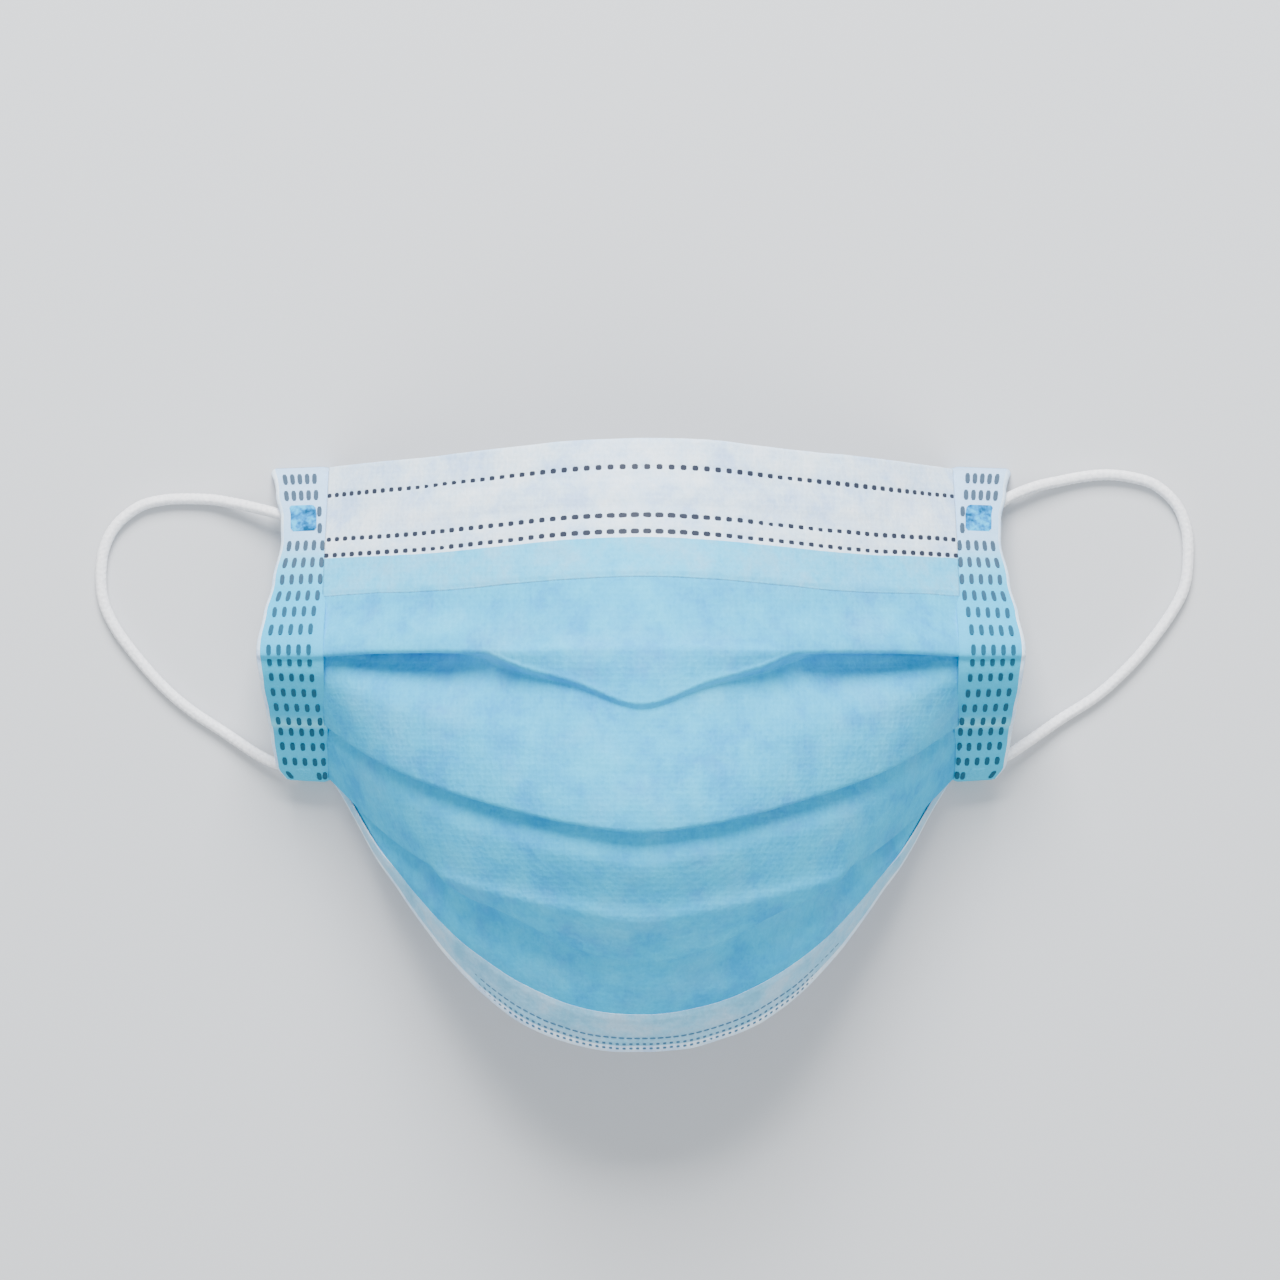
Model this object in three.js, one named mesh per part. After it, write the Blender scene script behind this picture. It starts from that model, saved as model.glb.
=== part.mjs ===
// A pleated surgical face mask, opened as when it is worn and laid down with its outer face up.
// Millimetres, +Z up. X runs across the mask, Y from the chin edge to the nose edge.
// The ends of the side bindings stand on the plane Z = 0, and the ear loops lie on it.
import * as THREE from 'three';

// Driving dimensions
const panelWidth = 123;
const openHeight = 116.4;
const domeHeight = 64;
const clothWall = 1.3;
const pleatDepth = 10;
const lipWidth = 2;
const layerGap = 0.4;
const seatGap = 0.3;
const bindingWall = 1;
const topTuck = 8;
const hemWidth = 10.5;
const hemTuck = 6;
const hemEndShare = 0.92;
const hemClear = 1;
const tightHem = 4;
const easyHem = 12;
const sideWidth = 12.2;
const sideWall = 3;
const rimDroop = 4;
const loopDiameter = 2.2;

// Fineness of the meshes
const stationsPerHalf = 13;
const curveSamples = 400;
const loopSides = 8;
const loopSteps = 44;

// Sizes that follow from the ones above
const foldRadius = (clothWall + layerGap) / 2;
const leastStep = 0.4 * foldRadius;
const leafOffset = clothWall / 2 + seatGap + bindingWall / 2;
const edgeSetback = bindingWall + 2 * seatGap;

// Lines that run across the mask. The columns are the centre line, four even steps and the side.
// height is a share of openHeight above the middle, rise a share of domeHeight above the surface.
const creases = {
  topEdge: {
    height: [0.500, 0.498, 0.490, 0.481, 0.473, 0.464],
    rise: [0.711, 0.672, 0.570, 0.430, 0.266, 0.036],
  },
  wireRow: {
    height: [0.381, 0.377, 0.372, 0.364, 0.356, 0.344],
    rise: [0.797, 0.758, 0.655, 0.525, 0.370, 0.205],
  },
  topBindingEdge: {
    height: [0.276, 0.272, 0.264, 0.254, 0.250, 0.245],
    rise: [0.883, 0.852, 0.755, 0.625, 0.480, 0.335],
  },
  firstFold: {
    height: [0.161, 0.161, 0.156, 0.157, 0.156, 0.150],
    rise: [0.969, 0.938, 0.852, 0.734, 0.605, 0.480],
  },
  secondFold: {
    height: [-0.127, -0.115, -0.093, -0.064, -0.025, 0.036],
    rise: [1.000, 0.969, 0.875, 0.727, 0.530, 0.285],
  },
  thirdFold: {
    height: [-0.263, -0.247, -0.228, -0.202, -0.145, -0.054],
    rise: [0.844, 0.820, 0.734, 0.586, 0.340, 0.095],
  },
  bottomEdge: {
    height: [-0.500, -0.487, -0.444, -0.354, -0.216, -0.062],
    rise: [0.469, 0.453, 0.406, 0.328, 0.203, 0.047],
  },
};
const creaseNames = Object.keys(creases);

// Each pleat's inner crease, in the same columns. run is a share of pleatDepth beyond the fold:
// below 0 it lies folded back behind it, and above 0 the pleat is opened below it.
// sink is a share of pleatDepth that the inner crease lies deeper than two layers of cloth,
// and below 0 it lies less deep, as an opened pleat does.
const pleats = [
  {
    fold: 'firstFold',
    run: [1.18, 0.76, 0.34, -0.30, -0.80, -0.85],
    sink: [-0.10, -0.06, 0.12, 0.36, 0.30, 0.06],
  },
  {
    fold: 'secondFold',
    run: [-0.85, -0.85, -0.85, -0.85, -0.85, -0.85],
    sink: [0.10, 0.10, 0.12, 0.12, 0.08, 0.04],
  },
  {
    fold: 'thirdFold',
    run: [1.36, 1.22, 0.70, 0.34, -0.50, -0.85],
    sink: [-0.23, -0.13, 0.00, 0.08, 0.10, 0.02],
  },
];

// Visible share of hemWidth, in the same columns.
const hemShare = [1, 1, 1, 0.85, 0.5, 0.35];

// Rim of a side binding, along its length from the nose end to the chin end.
// reach is a share of sideWidth out from the panel's side.
const sideRim = [
  { along: 0, reach: 0.935 },
  { along: 0.085, reach: 0.83 },
  { along: 0.16, reach: 0.73 },
  { along: 0.225, reach: 0.71 },
  { along: 0.33, reach: 0.82 },
  { along: 0.43, reach: 0.93 },
  { along: 0.53, reach: 1 },
  { along: 0.61, reach: 0.96 },
  { along: 0.7, reach: 0.905 },
  { along: 0.8, reach: 0.86 },
  { along: 0.88, reach: 0.82 },
  { along: 0.95, reach: 0.66 },
  { along: 1, reach: 0.5 },
];

// Half section of a side binding, from the panel to the rim: across is a share of the reach,
// half a share of half of sideWall.
const tapeSection = [
  { across: 0, half: 1 },
  { across: 0.5, half: 0.9 },
  { across: 0.88, half: 0.72 },
  { across: 0.97, half: 0.5 },
];

// Routes of the ear loops, from the nose end to the chin end of the side binding.
const leftLoopRoute = [
  [-65.5, 43.6, 5.9], [-70.2, 45.0, 4.6], [-75.1, 46.3, 3.4], [-79.9, 47.4, 2.4], [-84.6, 48.2, 1.5],
  [-89.4, 48.4, 1.2], [-94.1, 48.2, 1.2], [-98.9, 47.0, 1.2], [-103.6, 43.4, 1.2], [-106.0, 39.0, 1.2],
  [-106.8, 33.2, 1.2], [-106.2, 27.8, 1.2], [-104.0, 23.0, 1.2], [-101.1, 18.9, 1.2], [-95.0, 11.8, 1.2],
  [-89.7, 7.1, 1.2], [-82.5, 2.3, 1.4], [-75.2, -2.4, 2.4], [-71.4, -4.0, 3.2], [-66.0, -4.2, 3.9],
];
const rightLoopRoute = [
  [66.4, 43.8, 5.6], [69.2, 46.0, 4.0], [72.2, 48.4, 2.7], [77.9, 50.8, 2.2], [82.7, 51.9, 1.5],
  [87.4, 52.8, 1.2], [92.1, 53.2, 1.2], [96.9, 52.7, 1.2], [101.6, 51.2, 1.2], [105.8, 47.4, 1.2],
  [107.8, 42.6, 1.2], [108.2, 36.7, 1.2], [107.4, 30.8, 1.2], [105.0, 26.0, 1.2], [99.8, 18.9, 1.2],
  [95.5, 14.2, 1.2], [90.1, 9.4, 1.2], [82.8, 4.7, 1.4], [75.7, -0.1, 2.6], [71.6, -2.6, 3.4],
  [66.0, -4.0, 4.1],
];

// A value between the columns of a row, smooth and level at the centre line.
function between(columns, across) {
  const last = columns.length - 1;
  const place = Math.min(across, 1) * last;
  const k = Math.min(Math.floor(place), last - 1);
  const t = place - k;
  const here = columns[k];
  const next = columns[k + 1];
  const before = k > 0 ? columns[k - 1] : columns[1];
  const after = k + 2 <= last ? columns[k + 2] : 2 * next - here;
  const slopeHere = (next - before) / 2;
  const slopeNext = (after - here) / 2;
  const t2 = t * t;
  const t3 = t2 * t;
  return (2 * t3 - 3 * t2 + 1) * here + (t3 - 2 * t2 + t) * slopeHere
    + (3 * t2 - 2 * t3) * next + (t3 - t2) * slopeNext;
}

function smoothStep(value) {
  const t = THREE.MathUtils.clamp(value, 0, 1);
  return t * t * (3 - 2 * t);
}

// The side view of the open mask at one place across it, measured along the cloth.
// Points are held as (Y, Z), and depth is measured inward from the outer layer.
class SideView {
  constructor(across) {
    const knots = creaseNames.map((name) => new THREE.Vector3(
      0,
      openHeight * between(creases[name].height, across),
      domeHeight * between(creases[name].rise, across),
    ));
    this.curve = new THREE.CatmullRomCurve3(knots, false, 'centripetal');
    this.curve.arcLengthDivisions = curveSamples;
    this.lengths = this.curve.getLengths(curveSamples);
    this.total = this.lengths[curveSamples];
  }

  runOf(name) {
    const knot = creaseNames.indexOf(name) / (creaseNames.length - 1);
    return this.lengths[Math.round(knot * curveSamples)];
  }

  at(run, depth) {
    const share = THREE.MathUtils.clamp(run / this.total, 0, 1);
    const point = this.curve.getPointAt(share);
    const along = this.curve.getTangentAt(share);
    const beyond = run - share * this.total;
    return new THREE.Vector2(
      point.y + along.y * beyond - along.z * depth,
      point.z + along.z * beyond + along.y * depth,
    );
  }

  outward(run) {
    const along = this.curve.getTangentAt(THREE.MathUtils.clamp(run / this.total, 0, 1));
    return new THREE.Vector2(along.z, -along.y);
  }
}

// How far the lip of an opened pleat lies below its ironed fold.
function lipRun(pleat, across) {
  return Math.max(0, pleatDepth * between(pleat.run, across) - lipWidth);
}

// The centre line of the pleated panel at one place across it.
function panelLine(across) {
  const view = new SideView(across);
  const line = [];
  const add = (run, depth) => line.push(view.at(run, depth));
  const arcShares = [0, 0.5, 1];
  const edgeRun = view.total - edgeSetback;

  const firstStart = view.runOf(pleats[0].fold) - foldRadius + lipRun(pleats[0], across);
  const upperSteps = 9;
  for (let k = 0; k < upperSteps; k += 1) {
    add(edgeSetback + (firstStart - edgeSetback) * k / upperSteps, 0);
  }

  pleats.forEach((pleat, number) => {
    const lip = lipRun(pleat, across);
    const foldRun = view.runOf(pleat.fold) + lip;
    const outer = new THREE.Vector2(foldRun - foldRadius, foldRadius);
    const step = new THREE.Vector2(
      pleatDepth * between(pleat.run, across) - lip,
      2 * foldRadius + pleatDepth * between(pleat.sink, across),
    );
    const inner = outer.clone().add(step);
    const turn = Math.atan2(step.y, step.x) + Math.asin(Math.min(1, 2 * foldRadius / step.length()));
    for (const share of arcShares) {
      add(outer.x + foldRadius * Math.sin(turn * share), outer.y - foldRadius * Math.cos(turn * share));
    }
    const leave = new THREE.Vector2(outer.x + foldRadius * Math.sin(turn), outer.y - foldRadius * Math.cos(turn));
    const arrive = new THREE.Vector2(inner.x - foldRadius * Math.sin(turn), inner.y + foldRadius * Math.cos(turn));
    for (const share of [1 / 3, 2 / 3]) {
      add(leave.x + (arrive.x - leave.x) * share, leave.y + (arrive.y - leave.y) * share);
    }
    for (const share of arcShares) {
      const angle = turn * (1 - share);
      add(inner.x - foldRadius * Math.sin(angle), inner.y + foldRadius * Math.cos(angle));
    }

    // The next panel leaves from under the fold and rises to the outer layer before its own fold.
    const startDepth = inner.y + foldRadius;
    const nextPleat = pleats[number + 1];
    const free = Math.max(foldRun + foldRadius, inner.x + 3 * foldRadius);
    let end;
    let hold;
    let release;
    let endDepth;
    if (nextPleat) {
      const ironed = view.runOf(nextPleat.fold) - foldRadius;
      end = ironed + lipRun(nextPleat, across);
      release = Math.max(ironed - pleatDepth, free + foldRadius);
      hold = free;
      endDepth = 0;
    } else {
      const hem = hemWidth * between(hemShare, across);
      const settled = (view.total - foldRun - tightHem) / (easyHem - tightHem);
      end = edgeRun;
      hold = Math.min(free, end - 4 * leastStep);
      release = THREE.MathUtils.clamp(view.total - hem - hemClear, hold + 2 * leastStep, end - leastStep);
      endDepth = startDepth * (1 - smoothStep(settled));
    }
    for (const share of [1 / 3, 2 / 3, 1]) {
      add(inner.x + (hold - inner.x) * share, startDepth);
    }
    for (const share of [0.25, 0.5, 0.75, 1]) {
      add(hold + (release - hold) * share, startDepth + (endDepth - startDepth) * smoothStep(share));
    }
    const lastSteps = nextPleat ? 3 : 4;
    for (let k = 1; k < lastSteps; k += 1) {
      add(release + (end - release) * k / lastSteps, endDepth);
    }
    if (!nextPleat) {
      add(end, endDepth);
      view.hemDepth = endDepth;
    }
  });
  return { view, line };
}

// The top binding: an inner leaf, the turn round the edge and the outer leaf.
function topBindingLine(across) {
  const { view } = panelLine(across);
  const lower = view.runOf('topBindingEdge');
  const corner = edgeSetback - seatGap;
  const line = [];
  for (const share of [0, 0.5]) {
    line.push(view.at(topTuck + (corner - topTuck) * share, leafOffset));
  }
  line.push(view.at(corner, leafOffset));
  line.push(view.at(bindingWall / 2, leafOffset / 2));
  line.push(view.at(bindingWall / 2, -leafOffset / 2));
  line.push(view.at(corner, -leafOffset));
  const steps = 8;
  for (let k = 1; k <= steps; k += 1) {
    line.push(view.at(corner + (lower - corner) * k / steps, -leafOffset));
  }
  return { view, line };
}

// The bottom binding, the same way round the lower edge.
function bottomBindingLine(across) {
  const { view } = panelLine(across);
  const upper = view.total - hemWidth * between(hemShare, across);
  const tuck = view.total - hemTuck * between(hemShare, across);
  const corner = view.total - edgeSetback + seatGap;
  const turn = view.total - bindingWall / 2;
  const outer = view.hemDepth - leafOffset;
  const inner = view.hemDepth + leafOffset;
  const line = [];
  for (const share of [0, 1 / 3, 2 / 3]) {
    line.push(view.at(upper + (corner - upper) * share, outer));
  }
  line.push(view.at(corner, outer));
  line.push(view.at(turn, view.hemDepth - leafOffset / 2));
  line.push(view.at(turn, view.hemDepth + leafOffset / 2));
  line.push(view.at(corner, inner));
  for (const share of [0.5, 1]) {
    line.push(view.at(corner + (tuck - corner) * share, inner));
  }
  return { view, line };
}

// A line moved sideways by a distance, with mitred corners.
function offsetLine(line, distance) {
  return line.map((point, k) => {
    const before = line[Math.max(k - 1, 0)];
    const after = line[Math.min(k + 1, line.length - 1)];
    const into = point.clone().sub(k > 0 ? before : point).normalize();
    const out = after.clone().sub(k < line.length - 1 ? point : after).normalize();
    const first = k > 0 ? new THREE.Vector2(into.y, -into.x) : new THREE.Vector2(out.y, -out.x);
    const second = k < line.length - 1 ? new THREE.Vector2(out.y, -out.x) : first;
    const mitre = first.clone().add(second).divideScalar(1 + first.dot(second));
    return point.clone().addScaledVector(mitre, distance);
  });
}

// A closed solid through rings of points. Each ring folds flat: point k faces point (last - k).
function loft(rings) {
  const count = rings[0].length;
  const positions = rings.flat().flatMap((point) => [point.x, point.y, point.z]);
  const indices = [];
  for (let i = 0; i + 1 < rings.length; i += 1) {
    for (let k = 0; k < count; k += 1) {
      const a = i * count + k;
      const b = i * count + (k + 1) % count;
      indices.push(a, b, b + count, a, b + count, a + count);
    }
  }
  const lastRing = (rings.length - 1) * count;
  for (let k = 0; k < Math.floor(count / 2); k += 1) {
    const low = [k, k + 1, count - 2 - k, count - 1 - k];
    const corners = low.filter((value, place) => low.indexOf(value) === place);
    for (let m = 1; m + 1 < corners.length; m += 1) {
      indices.push(corners[0], corners[m + 1], corners[m]);
      indices.push(lastRing + corners[0], lastRing + corners[m], lastRing + corners[m + 1]);
    }
    if (k + 1 >= count - 2 - k) {
      break;
    }
  }
  const geometry = new THREE.BufferGeometry();
  geometry.setAttribute('position', new THREE.Float32BufferAttribute(positions, 3));
  geometry.setIndex(signedVolume(positions, indices) < 0 ? indices.reverse() : indices);
  geometry.computeVertexNormals();
  return geometry;
}

function signedVolume(positions, indices) {
  const corner = (index) => new THREE.Vector3().fromArray(positions, 3 * index);
  let volume = 0;
  for (let k = 0; k < indices.length; k += 3) {
    volume += corner(indices[k]).dot(corner(indices[k + 1]).cross(corner(indices[k + 2]))) / 6;
  }
  return volume;
}

// A sheet of cloth whose centre line at each place across the mask comes from lineAt.
function sheetGeometry(lineAt, wall, reach) {
  const rings = [];
  for (let k = -stationsPerHalf; k <= stationsPerHalf; k += 1) {
    const share = reach * k / stationsPerHalf;
    const { line } = lineAt(Math.abs(share));
    const x = share * panelWidth / 2;
    const outer = offsetLine(line, wall / 2);
    const inner = offsetLine(line, -wall / 2).reverse();
    rings.push([...outer, ...inner].map((point) => new THREE.Vector3(x, point.x, point.y)));
  }
  return loft(rings);
}

function rimReach(along) {
  let k = 0;
  while (k + 2 < sideRim.length && sideRim[k + 1].along < along) {
    k += 1;
  }
  const share = (along - sideRim[k].along) / (sideRim[k + 1].along - sideRim[k].along);
  return sideWidth * THREE.MathUtils.lerp(sideRim[k].reach, sideRim[k + 1].reach, smoothStep(share));
}

// A side binding: a welded tape that arches from one end to the other and stands on both ends.
function sideBindingGeometry(side) {
  const view = new SideView(1);
  const tapeDepth = foldRadius / 4;
  const footRun = 2 * sideWall / 3;
  const steps = 22;
  const stations = [];
  for (let k = 0; k <= steps; k += 1) {
    const run = footRun + (view.total - 2 * footRun) * k / steps;
    const point = view.at(run, tapeDepth);
    const outward = view.outward(run);
    stations.push({ point, outward, along: run / view.total });
  }
  const noseFoot = new THREE.Vector2(view.at(0, 0).x + seatGap - sideWall / 2, 0);
  const chinFoot = new THREE.Vector2(view.at(view.total, 0).x - seatGap + sideWall / 2, 0);
  stations.unshift({ point: noseFoot, outward: new THREE.Vector2(1, 0), along: 0 });
  stations.push({ point: chinFoot, outward: new THREE.Vector2(-1, 0), along: 1 });

  const inset = panelWidth / 2 + seatGap;
  const rings = stations.map(({ point, outward, along }) => {
    const reach = rimReach(along);
    const droop = rimDroop * Math.sin(Math.PI * along);
    const place = (across, half) => new THREE.Vector3(
      side * (inset + reach * across),
      point.x + outward.x * half * sideWall / 2,
      point.y + outward.y * half * sideWall / 2 - droop * across,
    );
    const outer = tapeSection.map(({ across, half }) => place(across, half));
    const inner = tapeSection.map(({ across, half }) => place(across, -half)).reverse();
    return [...outer, place(1, 0), ...inner];
  });
  return loft(rings);
}

function loopGeometry(route) {
  const path = new THREE.CatmullRomCurve3(route.map((point) => new THREE.Vector3(...point)), false, 'centripetal');
  const corners = [];
  for (let k = 0; k < loopSides; k += 1) {
    const angle = 2 * Math.PI * k / loopSides;
    corners.push(new THREE.Vector2(Math.cos(angle), Math.sin(angle)).multiplyScalar(loopDiameter / 2));
  }
  return new THREE.ExtrudeGeometry(new THREE.Shape(corners), { steps: loopSteps, extrudePath: path });
}

const filterBlue = new THREE.MeshStandardMaterial({ color: 0x67bddd, roughness: 0.85, metalness: 0 });
const softWhite = new THREE.MeshStandardMaterial({ color: 0xe2effa, roughness: 0.8, metalness: 0 });
const hemBlue = new THREE.MeshStandardMaterial({ color: 0xa4bfcf, roughness: 0.8, metalness: 0 });
const tapeBlue = new THREE.MeshStandardMaterial({ color: 0x88c8e4, roughness: 0.75, metalness: 0 });
const elasticWhite = new THREE.MeshStandardMaterial({ color: 0xf0f0f4, roughness: 0.9, metalness: 0 });

function piece(name, geometry, material) {
  const mesh = new THREE.Mesh(geometry, material);
  mesh.name = name;
  return mesh;
}

const mask = new THREE.Group();
mask.add(
  piece('pleated_panel', sheetGeometry(panelLine, clothWall, 1), filterBlue),
  piece('top_binding', sheetGeometry(topBindingLine, bindingWall, 1), softWhite),
  piece('bottom_binding', sheetGeometry(bottomBindingLine, bindingWall, hemEndShare), hemBlue),
  piece('side_binding_left', sideBindingGeometry(-1), tapeBlue),
  piece('side_binding_right', sideBindingGeometry(1), tapeBlue),
  piece('ear_loop_left', loopGeometry(leftLoopRoute), elasticWhite),
  piece('ear_loop_right', loopGeometry(rightLoopRoute), elasticWhite),
);

export default mask;
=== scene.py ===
import math

import bpy
import numpy as np
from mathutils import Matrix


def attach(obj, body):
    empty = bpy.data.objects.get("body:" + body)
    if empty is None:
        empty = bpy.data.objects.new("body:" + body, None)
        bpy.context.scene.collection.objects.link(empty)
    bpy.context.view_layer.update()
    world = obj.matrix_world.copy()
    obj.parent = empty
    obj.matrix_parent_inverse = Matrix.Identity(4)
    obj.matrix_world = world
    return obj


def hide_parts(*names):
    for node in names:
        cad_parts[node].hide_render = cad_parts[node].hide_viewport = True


# A pleated surgical face mask that lies opened on a pale floor, outer face up.
# Metres, +Z up. X runs across the mask, Y from the chin edge to the nose edge.
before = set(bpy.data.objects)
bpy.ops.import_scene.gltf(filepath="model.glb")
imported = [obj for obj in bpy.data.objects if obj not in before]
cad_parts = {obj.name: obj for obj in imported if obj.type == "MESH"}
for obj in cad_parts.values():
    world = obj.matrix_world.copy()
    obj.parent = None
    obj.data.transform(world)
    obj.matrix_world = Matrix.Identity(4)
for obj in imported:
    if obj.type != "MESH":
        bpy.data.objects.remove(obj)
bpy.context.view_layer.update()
MM = 0.001

# Camera, straight above the mask as the photograph faces it
CAMERA_HEIGHT = 900 * MM
CAMERA_X = -0.2 * MM
CAMERA_Y = 20.5 * MM
FRAME_WIDTH = 253.5 * MM
SENSOR_WIDTH = 36.0

# Driving dimensions, the same as the solids have
PANEL_WIDTH = 123 * MM
OPEN_HEIGHT = 116.4 * MM
DOME_HEIGHT = 64 * MM
PLEAT_DEPTH = 10 * MM
HEM_WIDTH = 10.5 * MM
SIDE_WIDTH = 12.2 * MM
RIM_DROOP = 4 * MM
LOOP_DIAMETER = 2.2 * MM

# Thin plies of the real cloth, and how they lie
CLOTH = 0.45 * MM
PLY = 0.3 * MM
PLY_GAP = 0.12 * MM
FOLD_RADIUS = 0.6 * MM
PANEL_LIFT = 0.35 * MM
LIP_WIDTH = 1.5 * MM
TOP_TUCK = 8 * MM
HEM_TUCK = 6 * MM
HEM_CLEAR = 1 * MM
TIGHT_HEM = 4 * MM
EASY_HEM = 12 * MM
LEAST_STEP = 0.3 * MM
EDGE_SETBACK = 0.8 * MM

# How far the cloth bulges inwards between two pleats, and between the top binding and the first fold
FLARE = 0.9 * MM
UPPER_FLARE = 0.7 * FLARE
UPPER_SKEW = 0.8

# The crease that is left where an open pleat was ironed, with its reach above and below
RIDGE = 1.2 * MM
RIDGE_ABOVE = 1.2 * MM
RIDGE_BELOW = 5 * MM
RIDGE_ROUNDING = 0.15
RIDGE_EASE = 2 * MM

# The sag of the cloth between the first crease and its lip
FACET_SINK = 0.9 * MM
FACET_EASE = 4 * MM

# Numbers of points on the stretches of the panel's side view
UPPER_POINTS = 32
NEAR_POINTS = 26
NEAR_FOLD = 4 * MM
BEND_POINTS = 8
LAYER_POINTS = 9
RISE_POINTS = 13
FACE_POINTS = 23

# Lines that run across the mask. The columns are the centre line, four even steps and the side.
# height is a share of OPEN_HEIGHT above the middle, rise a share of DOME_HEIGHT.
CREASES = {
    "top_edge": {
        "height": [0.500, 0.498, 0.490, 0.481, 0.473, 0.464],
        "rise": [0.711, 0.672, 0.570, 0.430, 0.266, 0.036],
    },
    "wire_row": {
        "height": [0.381, 0.377, 0.372, 0.364, 0.356, 0.344],
        "rise": [0.797, 0.758, 0.655, 0.525, 0.370, 0.205],
    },
    "top_binding_edge": {
        "height": [0.276, 0.272, 0.264, 0.254, 0.250, 0.245],
        "rise": [0.883, 0.852, 0.755, 0.625, 0.480, 0.335],
    },
    "first_fold": {
        "height": [0.161, 0.161, 0.156, 0.157, 0.156, 0.150],
        "rise": [0.969, 0.938, 0.852, 0.734, 0.605, 0.480],
    },
    "second_fold": {
        "height": [-0.127, -0.115, -0.093, -0.064, -0.025, 0.036],
        "rise": [1.000, 0.969, 0.875, 0.727, 0.530, 0.285],
    },
    "third_fold": {
        "height": [-0.263, -0.247, -0.228, -0.202, -0.145, -0.054],
        "rise": [0.844, 0.820, 0.734, 0.586, 0.340, 0.095],
    },
    "bottom_edge": {
        "height": [-0.500, -0.487, -0.444, -0.354, -0.216, -0.062],
        "rise": [0.469, 0.453, 0.406, 0.328, 0.203, 0.047],
    },
}
CREASE_NAMES = list(CREASES)

# Each pleat's inner crease: run is a share of PLEAT_DEPTH beyond the fold, -1 fully folded back.
# sink is a share of PLEAT_DEPTH that it lies deeper than two layers, and below 0 less deep.
PLEATS = [
    {
        "fold": "first_fold",
        "run": [1.18, 0.76, 0.34, -0.30, -0.80, -0.85],
        "sink": [-0.04, 0.00, 0.18, 0.46, 0.38, 0.06],
    },
    {
        "fold": "second_fold",
        "run": [-0.85, -0.85, -0.85, -0.85, -0.85, -0.85],
        "sink": [0.10, 0.10, 0.12, 0.12, 0.08, 0.04],
    },
    {
        "fold": "third_fold",
        "run": [1.36, 1.22, 0.70, 0.34, -0.50, -0.85],
        "sink": [-0.23, -0.09, 0.07, 0.13, 0.10, 0.02],
    },
]

# Width of the hem in the same columns, as a share of HEM_WIDTH
HEM_SHARE = [1, 1, 1, 0.85, 0.5, 0.35]

# Rim of a side binding from the nose end to the chin end, reach as a share of SIDE_WIDTH.
SIDE_RIM = [
    {"along": 0, "reach": 0.935},
    {"along": 0.085, "reach": 0.83},
    {"along": 0.16, "reach": 0.73},
    {"along": 0.225, "reach": 0.71},
    {"along": 0.33, "reach": 0.82},
    {"along": 0.43, "reach": 0.93},
    {"along": 0.53, "reach": 1},
    {"along": 0.61, "reach": 0.96},
    {"along": 0.7, "reach": 0.905},
    {"along": 0.8, "reach": 0.86},
    {"along": 0.88, "reach": 0.82},
    {"along": 0.95, "reach": 0.66},
    {"along": 1, "reach": 0.5},
]

# Dotted weld rows of the top binding, as shares of its width from the edge, a little lower at the
# sides. Below WHITE_SHARE the binding is a pale strip.
TOP_ROWS = [0.21, 0.555, 0.675]
TOP_ROW_SAG = 0.025
WHITE_SHARE = 0.705
DOT_PITCH = 2.3 * MM

# Routes of the ear loops in millimetres, from the nose end to the chin end of the side binding.
LEFT_LOOP_ROUTE = [
    (-65.5, 43.6, 5.9), (-70.2, 45.0, 4.6), (-75.1, 46.3, 3.4), (-79.9, 47.4, 2.4), (-84.6, 48.2, 1.5),
    (-89.4, 48.4, 1.2), (-94.1, 48.2, 1.2), (-98.9, 47.0, 1.2), (-103.6, 43.4, 1.2), (-106.0, 39.0, 1.2),
    (-106.8, 33.2, 1.2), (-106.2, 27.8, 1.2), (-104.0, 23.0, 1.2), (-101.1, 18.9, 1.2), (-95.0, 11.8, 1.2),
    (-89.7, 7.1, 1.2), (-82.5, 2.3, 1.4), (-75.2, -2.4, 2.4), (-71.4, -4.0, 3.2), (-66.0, -4.2, 3.9),
]
RIGHT_LOOP_ROUTE = [
    (66.4, 43.8, 5.6), (69.2, 46.0, 4.0), (72.2, 48.4, 2.7), (77.9, 50.8, 2.2), (82.7, 51.9, 1.5),
    (87.4, 52.8, 1.2), (92.1, 53.2, 1.2), (96.9, 52.7, 1.2), (101.6, 51.2, 1.2), (105.8, 47.4, 1.2),
    (107.8, 42.6, 1.2), (108.2, 36.7, 1.2), (107.4, 30.8, 1.2), (105.0, 26.0, 1.2), (99.8, 18.9, 1.2),
    (95.5, 14.2, 1.2), (90.1, 9.4, 1.2), (82.8, 4.7, 1.4), (75.7, -0.1, 2.6), (71.6, -2.6, 3.4),
    (66.0, -4.0, 4.1),
]


def between(columns, across):
    """Values between the columns of a row, smooth and level at the centre line."""
    columns = np.asarray(columns, float)
    last = len(columns) - 1
    place = min(across, 1.0) * last
    k = min(int(place), last - 1)
    t = place - k
    here, after = columns[k], columns[k + 1]
    slope_here = (after - (columns[k - 1] if k else columns[1])) / 2
    beyond = columns[k + 2] if k + 2 <= last else 2 * after - here
    slope_after = (beyond - here) / 2
    return ((2 * t**3 - 3 * t**2 + 1) * here + (t**3 - 2 * t**2 + t) * slope_here
            + (3 * t**2 - 2 * t**3) * after + (t**3 - t**2) * slope_after)


def smooth_step(value):
    t = np.clip(value, 0, 1)
    return t * t * (3 - 2 * t)


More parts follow.
